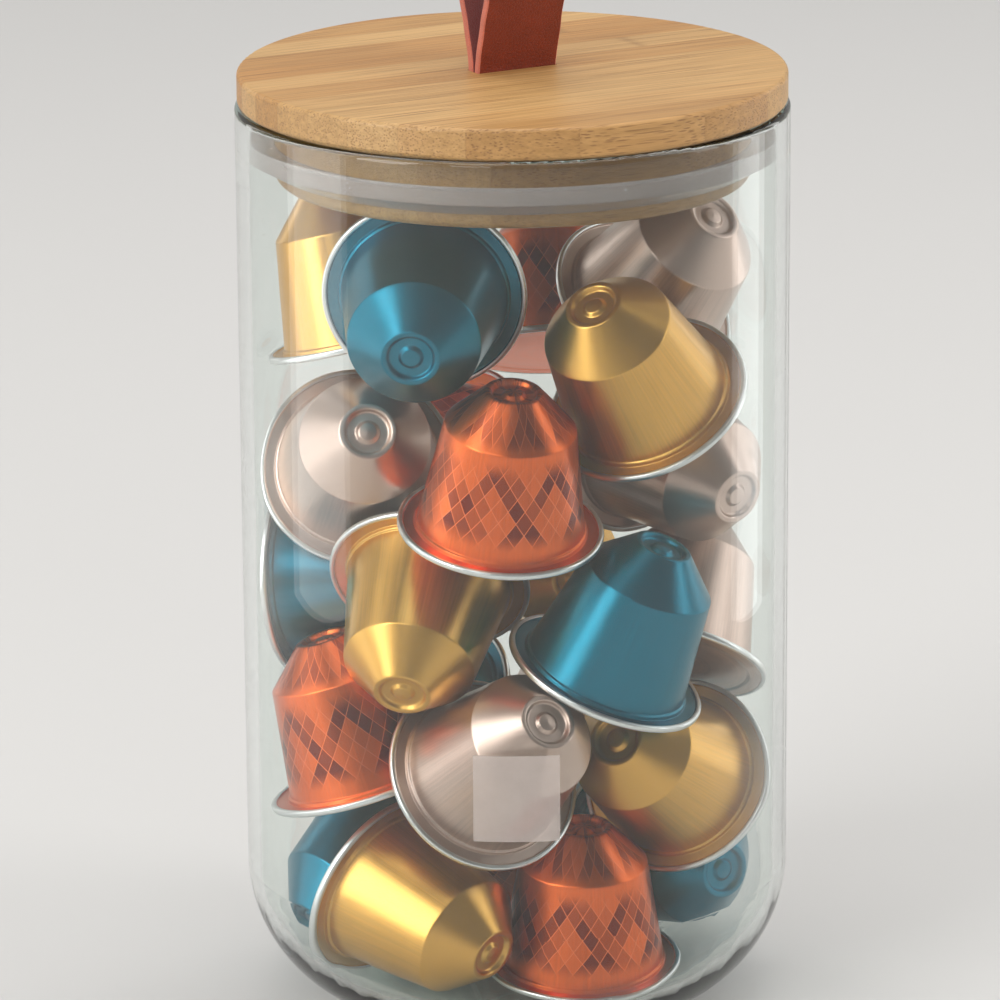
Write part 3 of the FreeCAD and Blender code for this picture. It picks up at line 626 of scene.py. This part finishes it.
def settle_piece(piece, body, slot_name, *stands_for):
    """Once a piece is in place, tie it to its body and hide the solids that it stands for."""
    bpy.context.view_layer.update()
    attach(piece, body)
    if stands_for:
        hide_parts(*stands_for)


def dress(name, material):
    """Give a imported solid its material."""
    mesh_object = NODES[name]
    mesh_object.data.materials.clear()
    mesh_object.data.materials.append(material)


class CAPSULEJAR_OT_glass(bpy.types.Operator):
    """Clear glass for the jar, and the bare frosted patch on its front"""
    bl_idname = "capsule_jar.glass"
    bl_label = "Glass jar"

    def execute(self, context):
        settings = context.scene.jar_glass
        dress("glass_jar", glass_material())
        low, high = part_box("glass_jar")
        radius = (high.x - low.x) / 2 + 0.02 * MM
        half = settings.patch_width / 2 / radius
        columns, rows = PATCH_FACES
        shape = bmesh.new()
        grid = []
        for depth in (0.0, settings.patch_thick):
            for row in range(rows + 1):
                level = settings.patch_level + (row / rows - 0.5) * settings.patch_height
                for column in range(columns + 1):
                    turn = -math.pi / 2 + (2 * column / columns - 1) * half
                    reach = radius + depth
                    grid.append(shape.verts.new((reach * math.cos(turn), reach * math.sin(turn), level)))
        layer = (rows + 1) * (columns + 1)

        def at(side, row, column):
            return grid[side * layer + row * (columns + 1) + column]

        for row in range(rows):
            for column in range(columns):
                for side in (0, 1):
                    shape.faces.new([at(side, row, column), at(side, row, column + 1),
                                     at(side, row + 1, column + 1), at(side, row + 1, column)])
        border = [(0, k) for k in range(columns)] + [(k, columns) for k in range(rows)]
        border += [(rows, columns - k) for k in range(columns)] + [(rows - k, 0) for k in range(rows)]
        for (row, column), (next_row, next_column) in zip(border, border[1:] + border[:1]):
            shape.faces.new([at(0, row, column), at(0, next_row, next_column),
                             at(1, next_row, next_column), at(1, row, column)])
        bmesh.ops.recalc_face_normals(shape, faces=shape.faces)
        mesh = bpy.data.meshes.new("frosted_patch")
        shape.to_mesh(mesh)
        shape.free()
        mesh.materials.append(frosted_material())
        settle_piece(new_piece("frosted_patch", mesh), "jar", "clear_glass")
        return {"FINISHED"}


class CAPSULEJAR_OT_lid(bpy.types.Operator):
    """Bamboo for the lid's disc and plug, and steel for its screws"""
    bl_idname = "capsule_jar.lid"
    bl_label = "Lid and screws"

    def execute(self, context):
        dress("lid_disc", bamboo_material("bamboo_disc", 4.9))
        # The plug takes a copy of the disc's bamboo darkened to 0.72: painted shade for the shadow under the
        # lid and behind the glass.
        dress("lid_plug", bamboo_material("bamboo_plug", 1.6, 0.72))
        steel = metal_material("steel", STEEL, 0.28, 0.2, 0.9, 0.1)
        for name in ("strap_screw_front", "strap_screw_back"):
            dress(name, steel)
        return {"FINISHED"}


class CAPSULEJAR_OT_seal(bpy.types.Operator):
    """The silicone ring: its root lies in the plug's groove and its lip rises to the glass"""
    bl_idname = "capsule_jar.seal"
    bl_label = "Seal"

    def execute(self, context):
        s = context.scene.jar_seal
        low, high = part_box("seal_ring")
        outer = (high.x - low.x) / 2
        top = low.z + s.ring_height
        small = s.lip_round / 2
        middle = low.z + s.ring_height / 2
        line = rounded_line([
            (s.inner, middle, 0), (s.inner, low.z, small), (s.root, low.z, s.lip_round),
            (outer, high.z - s.lip_height, s.lip_round), (outer, high.z, small), (s.root, top, s.lip_round),
            (s.inner, top, small), (s.inner, middle, 0)], 5)
        mesh = spin("silicone_seal", line, s.steps, [silicone_material()], lambda row: 0)
        settle_piece(new_piece("silicone_seal", mesh), "seal", "silicone", "seal_ring")
        return {"FINISHED"}


def loop_half(settings):
    """Half of the leather's middle line, (outward, up) from the lid's underside, tail end first."""
    low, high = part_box("lid_disc")
    disc = high.z - low.z
    middle = settings.thick / 2 + settings.gap / 2
    tail_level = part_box("pull_loop")[0].z - low.z + settings.thick / 2
    rise = settings.rise - settings.thick / 2 - settings.top_bend
    centre = disc + rise
    reach = middle + settings.leave_bend
    bends = settings.top_bend + settings.leave_bend
    lean = math.asin(bends / math.hypot(rise, reach)) - math.atan2(reach, rise)
    points = []

    def bend(across, up, radius, start, stop, count):
        for k in range(count + 1):
            turn = start + (stop - start) * k / count
            points.append(Vector((across + radius * math.cos(turn), up + radius * math.sin(turn))))

    def run_to(across, up, count):
        first = points[-1].copy()
        for k in range(1, count):
            points.append(first.lerp(Vector((across, up)), k / count))

    points.append(Vector((middle + settings.tail, tail_level)))
    run_to(middle + settings.tail_bend, tail_level, 12)
    bend(middle + settings.tail_bend, tail_level + settings.tail_bend, settings.tail_bend,
         -math.pi / 2, -math.pi, 8)
    run_to(middle, disc, 18)
    bend(middle + settings.leave_bend, disc, settings.leave_bend, math.pi, math.pi - lean, 6)
    top = Vector((settings.top_bend * math.cos(-lean), centre + settings.top_bend * math.sin(-lean)))
    run_to(top.x, top.y, 36)
    bend(0, centre, settings.top_bend, -lean, math.pi / 2, 26)
    return points


class CAPSULEJAR_OT_loop(bpy.types.Operator):
    """The folded leather strap: dyed outside, paler cut edges, raw inside"""
    bl_idname = "capsule_jar.loop"
    bl_label = "Leather loop"

    def execute(self, context):
        settings = context.scene.jar_loop
        half = loop_half(settings)
        path = half + [Vector((-p.x, p.y)) for p in reversed(half[:-1])]
        section = []
        wide, thick, corner = settings.width / 2, settings.thick / 2, settings.round_edge
        corners = ((wide, thick, 0), (-wide, thick, 90), (-wide, -thick, 180), (wide, -thick, 270))
        for across, out, start in corners:
            for k in range(5):
                turn = math.radians(start + 90 * k / 4)
                section.append((across - math.copysign(corner, across) + corner * math.cos(turn),
                                out - math.copysign(corner, out) + corner * math.sin(turn)))
            if start in (0, 180):
                sign = 1 if start == 0 else -1
                section += [(sign * (wide - corner) * (1 - 2 * k / 10), sign * thick) for k in range(1, 10)]
        count = len(section)
        shape = bmesh.new()
        rings = []
        walked = 0.0
        for index, point in enumerate(path):
            before = path[max(index - 1, 0)]
            after = path[min(index + 1, len(path) - 1)]
            walked += (point - before).length
            way = (after - before).normalized()
            out = Vector((way.y, -way.x))
            ring = []
            for across, lift in section:
                slack = 0.05 * MM * math.sin(walked * 410 + across * 90) + 0.04 * MM * math.sin(walked * 997)
                side = across + (slack if abs(across) > wide - corner * 1.01 else 0)
                spot = point + out * lift
                ring.append(shape.verts.new((side, spot.x, spot.y)))
            rings.append(ring)
        for low, high in zip(rings, rings[1:]):
            for k in range(count):
                after = (k + 1) % count
                face = shape.faces.new([low[k], low[after], high[after], high[k]])
                face.smooth = True
                across = (section[k][0] + section[after][0]) / 2
                lift = (section[k][1] + section[after][1]) / 2
                if abs(across) > wide - corner * 0.55:
                    face.material_index = 2
                else:
                    face.material_index = 0 if lift > 0 else 1
        for ring in (rings[0], rings[-1]):
            cap = shape.faces.new(ring)
            cap.material_index = 2
        bmesh.ops.recalc_face_normals(shape, faces=shape.faces)
        mesh = bpy.data.meshes.new("leather_loop")
        shape.to_mesh(mesh)
        shape.free()
        mesh.materials.append(leather_material("leather_grain", settings.grain, 0.10, 1.6, 0.05))
        mesh.materials.append(leather_material("leather_flesh", settings.flesh, 0.45, 2.6, 0.25))
        mesh.materials.append(leather_material("leather_cut", settings.cut, 0.55, 3.2, 0.15))
        piece = new_piece("leather_loop", mesh)
        turn = Matrix.Rotation(context.scene.jar_bamboo.grain_turn, 4, "Z")
        piece.matrix_world = Matrix.Translation((0, 0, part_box("lid_disc")[0].z)) @ turn
        settle_piece(piece, "lid", "leather", "pull_loop")
        return {"FINISHED"}


def cup_line(settings):
    """Half the section of a cup's skin, from under its rim to the nub."""
    s = settings
    curl = s.rim - s.curl
    inner = s.end - s.ring
    floor = s.height - s.recess
    roll = s.curl * 0.48
    small = 0.15 * MM
    return [
        (0, s.foil, 0), (curl, s.foil, 0), (curl, 0.02 * MM, roll * 0.6), (s.rim, 0, roll),
        (s.rim, s.curl_height, roll), (curl, s.curl_height, roll), (curl - small, s.flange, small),
        (s.cup + s.bead + small, s.flange, small), (s.cup + s.bead, s.flange + s.bead_height, 0.3 * MM),
        (s.cup, s.flange + s.bead_height + small, 0.2 * MM), (s.shoulder, s.shoulder_height, 0.7 * MM),
        (s.end, s.height, 0.5 * MM), (inner, s.height, 0.5 * MM), (inner - 0.4 * MM, floor, 0.5 * MM),
        (s.nub + 0.4 * MM, floor, 0.4 * MM), (s.nub - 0.2 * MM, s.height - 0.25 * MM, 0.5 * MM),
        (0, s.height - 0.1 * MM, 0),
    ]


def foil_line(settings):
    """Half the section of the foil: flat seal ring, then a shallow pressed dome."""
    s = settings
    edge = s.rim - s.curl - 0.06 * MM
    return [
        (0, s.foil * 0.9, 0), (edge, s.foil * 0.9, 0), (edge, 0.06 * MM, 0.08 * MM),
        (s.cup + 0.3 * MM, 0.06 * MM, 0.2 * MM), (s.cup - 0.4 * MM, 0.2 * MM, 0.3 * MM),
        (s.cup * 0.55, 0.02 * MM, 2 * MM), (0, 0, 0),
    ]


def lie_like(cup, foil):
    """The place of a capsule, read from its solids: base in the middle of the foil, +Z to the narrow end."""
    points = [v.co.copy() for v in foil.data.vertices]
    middle = sum(points, Vector()) / len(points)
    far = max(points, key=lambda p: (p - middle).length) - middle
    crossing = [far.cross(p - middle) for p in points]
    way = max(crossing, key=lambda c: c.length).normalized()
    body = [v.co.copy() for v in cup.data.vertices]
    heights = [way.dot(p - middle) for p in body]
    if max(heights) < -min(heights):
        way = -way
        heights = [-h for h in heights]
    return middle + way * min(heights), way


class CAPSULEJAR_OT_capsules(bpy.types.Operator):
    """The capsules: drawn cups with rolled rims and a pressed narrow end, and their foils"""
    bl_idname = "capsule_jar.capsules"
    bl_label = "Capsules"

    def execute(self, context):
        settings = context.scene.jar_capsules
        line = rounded_line(cup_line(settings), 4)
        cover = rounded_line(foil_line(settings), 4)
        rim_rows = {row for row, (a, b) in enumerate(zip(line, line[1:]))
                    if (a.x + b.x) / 2 > settings.rim - settings.curl * 1.02}
        silver = metal_material("rolled_rim", settings.silver, 0.30, 0.3, 0.2, 0.2)
        meshes = {}
        for name in COLOURS:
            tint = getattr(settings, name)
            cup = metal_material(name + "_cup", tint, 0.34, 0.9, 0.04, 0.12,
                                 settings.diamonds if name == "copper" else 0)
            foil = metal_material(name + "_foil", tint, 0.40, 0.2, 0.5, 0.6)
            meshes[name] = (
                spin(name + "_cup", line, settings.steps, [cup, silver], lambda row: int(row in rim_rows)),
                spin(name + "_foil", cover, settings.steps, [foil], lambda row: 0))
        for number, cup_name in enumerate(sorted(name for name in NODES if name.endswith("_cup"))):
            label = cup_name[:-len("_cup")]
            foil_name = label + "_foil"
            base, way = lie_like(NODES[cup_name], NODES[foil_name])
            own_turn = Matrix.Rotation(number * CAPSULE_TURN, 4, "Z")
            place = Matrix.Translation(base) @ way.to_track_quat("Z", "X").to_matrix().to_4x4() @ own_turn
            skin, cover_mesh = meshes[label.split("_")[0]]
            for name, mesh, slot_name, solid in (
                    (label + "_skin", skin, "capsule_" + label.split("_")[0], cup_name),
                    (label + "_cover", cover_mesh, "foil", foil_name)):
                piece = new_piece(name, mesh)
                piece.matrix_world = place
                settle_piece(piece, "jar", slot_name, solid)
        return {"FINISHED"}


def soft_light(name, size, power, at, look_at, card):
    """A soft studio lamp that faces a point; a card shows in gloss and glass and lights nothing else."""
    data = bpy.data.lights.new(name, "AREA")
    data.shape = "RECTANGLE"
    data.size, data.size_y = size
    data.energy = power
    lamp = bpy.data.objects.new(name, data)
    bpy.context.scene.collection.objects.link(lamp)
    lamp.location = at
    lamp.visible_camera = False
    lamp.visible_diffuse = not card
    lamp.visible_glossy = card
    lamp.visible_transmission = card
    lamp.rotation_euler = (Vector(look_at) - Vector(at)).to_track_quat("-Z", "Y").to_euler()


def new_world(colour_of_floor):
    """The studio's air: a backdrop for what is seen, a darker room in front for gloss, and even light."""
    world = bpy.data.worlds.new("studio")
    bpy.context.scene.world = world
    world.use_nodes = True
    tree = world.node_tree
    tree.nodes.clear()
    zenith, room_dark, horizon = (
        [v * share for v in colour_of_floor] for share in (ZENITH_SHARE, ROOM_SHARE, HORIZON_SHARE))
    rays = node(tree, "ShaderNodeLightPath").outputs
    seen = calc(tree, "MAXIMUM", rays["Is Camera Ray"],
                calc(tree, "MAXIMUM", rays["Is Glossy Ray"], rays["Is Transmission Ray"]))
    way = node(tree, "ShaderNodeSeparateXYZ", {0: node(tree, "ShaderNodeTexCoord").outputs["Generated"]})
    shade = blend_colours(tree, ramp(tree, way.outputs[2], 0.1, 0.9), colour_of_floor, zenith)
    mirrored = calc(tree, "MAXIMUM", rays["Is Glossy Ray"],
                    calc(tree, "GREATER_THAN", rays["Ray Depth"], BEHIND_GLASS))
    room = calc(tree, "MULTIPLY", mirrored, ramp(tree, way.outputs[1], -0.6, 0.6, 0.9, 0.2))
    shade = blend_colours(tree, room, shade, room_dark)
    shade = blend_colours(tree, mirrored, horizon, shade)
    backdrop = node(tree, "ShaderNodeBackground", {0: shade, 1: 1.0})
    light = node(tree, "ShaderNodeBackground", {0: (1.0, 1.0, 1.0), 1: EVEN_LIGHT})
    mixed = node(tree, "ShaderNodeMixShader", {0: seen, 1: light, 2: backdrop})
    node(tree, "ShaderNodeOutputWorld", {0: mixed})


class CAPSULEJAR_OT_stage(bpy.types.Operator):
    """A plain pale floor, soft studio lamps and the photograph's camera"""
    bl_idname = "capsule_jar.stage"
    bl_label = "Floor, lamps and camera"

    def execute(self, context):
        scene = context.scene
        settings = scene.jar_stage
        scene.view_settings.view_transform = "Standard"
        mesh = bpy.data.meshes.new("floor")
        shape = bmesh.new()
        bmesh.ops.create_circle(shape, cap_ends=True, segments=96, radius=settings.floor_radius)
        shape.to_mesh(mesh)
        shape.free()
        material, tree = new_tree("floor")
        grain = noise(tree, place_in_mm(tree), 0.02, 3.0)
        finish_material(tree, principled(tree, {
            "Base Color": settings.floor, "Roughness": calc(tree, "MULTIPLY_ADD", grain, 0.1, 0.75)}))
        mesh.materials.append(material)
        floor = bpy.data.objects.new("floor", mesh)
        floor.location.z = -settings.floor_gap
        scene.collection.objects.link(floor)

        new_world(settings.floor)
        for group, card in ((LAMPS, False), (CARDS, True)):
            for lamp in group:
                soft_light(*lamp, card)

        data = bpy.data.cameras.new("camera")
        data.sensor_width = 36.0
        data.lens = settings.lens
        data.shift_x = settings.shift
        data.clip_start, data.clip_end = 0.01, 50
        camera = bpy.data.objects.new("camera", data)
        scene.collection.objects.link(camera)
        tilt = Matrix.Rotation(math.pi / 2 - settings.pitch, 4, "X")
        turn = Matrix.Rotation(settings.roll, 4, "Z")
        stand = Matrix.Translation((0, -settings.distance, settings.camera_height))
        camera.matrix_world = stand @ tilt @ turn
        scene.camera = camera
        return {"FINISHED"}


class CAPSULEJAR_PT_panel(bpy.types.Panel):
    """Lists the pieces in the order they are made"""
    bl_label = "Capsule jar"
    bl_idname = "CAPSULEJAR_PT_panel"
    bl_space_type = "VIEW_3D"
    bl_region_type = "UI"
    bl_category = "Capsule jar"

    def draw(self, context):
        for operator in OPERATORS:
            self.layout.operator(operator.bl_idname)
        for name, _ in SETTINGS:
            column = self.layout.column()
            group = getattr(context.scene, name)
            for prop in group.bl_rna.properties:
                if prop.identifier not in ("rna_type", "name"):
                    column.prop(group, prop.identifier)


OPERATORS = [CAPSULEJAR_OT_glass, CAPSULEJAR_OT_lid, CAPSULEJAR_OT_seal, CAPSULEJAR_OT_loop,
             CAPSULEJAR_OT_capsules, CAPSULEJAR_OT_stage]
SETTINGS = [("jar_glass", GlassSettings), ("jar_bamboo", BambooSettings), ("jar_seal", SealSettings),
            ("jar_loop", LoopSettings), ("jar_capsules", CapsuleSettings), ("jar_stage", StageSettings)]


def register():
    """Make the settings, operators and panel known."""
    for name, group in SETTINGS:
        bpy.utils.register_class(group)
        setattr(bpy.types.Scene, name, bpy.props.PointerProperty(type=group))
    for operator in OPERATORS:
        bpy.utils.register_class(operator)
    bpy.utils.register_class(CAPSULEJAR_PT_panel)


def unregister():
    """Take them away again."""
    bpy.utils.unregister_class(CAPSULEJAR_PT_panel)
    for operator in reversed(OPERATORS):
        bpy.utils.unregister_class(operator)
    for name, group in reversed(SETTINGS):
        delattr(bpy.types.Scene, name)
        bpy.utils.unregister_class(group)


def main():
    """Make every piece in order."""
    register()
    for make_group in (bamboo_group, metal_group, diamond_group, leather_group, smear_group):
        make_group()
    bpy.ops.capsule_jar.glass()
    bpy.ops.capsule_jar.lid()
    bpy.ops.capsule_jar.seal()
    bpy.ops.capsule_jar.loop()
    bpy.ops.capsule_jar.capsules()
    bpy.ops.capsule_jar.stage()


if __name__ == "__main__":
    main()
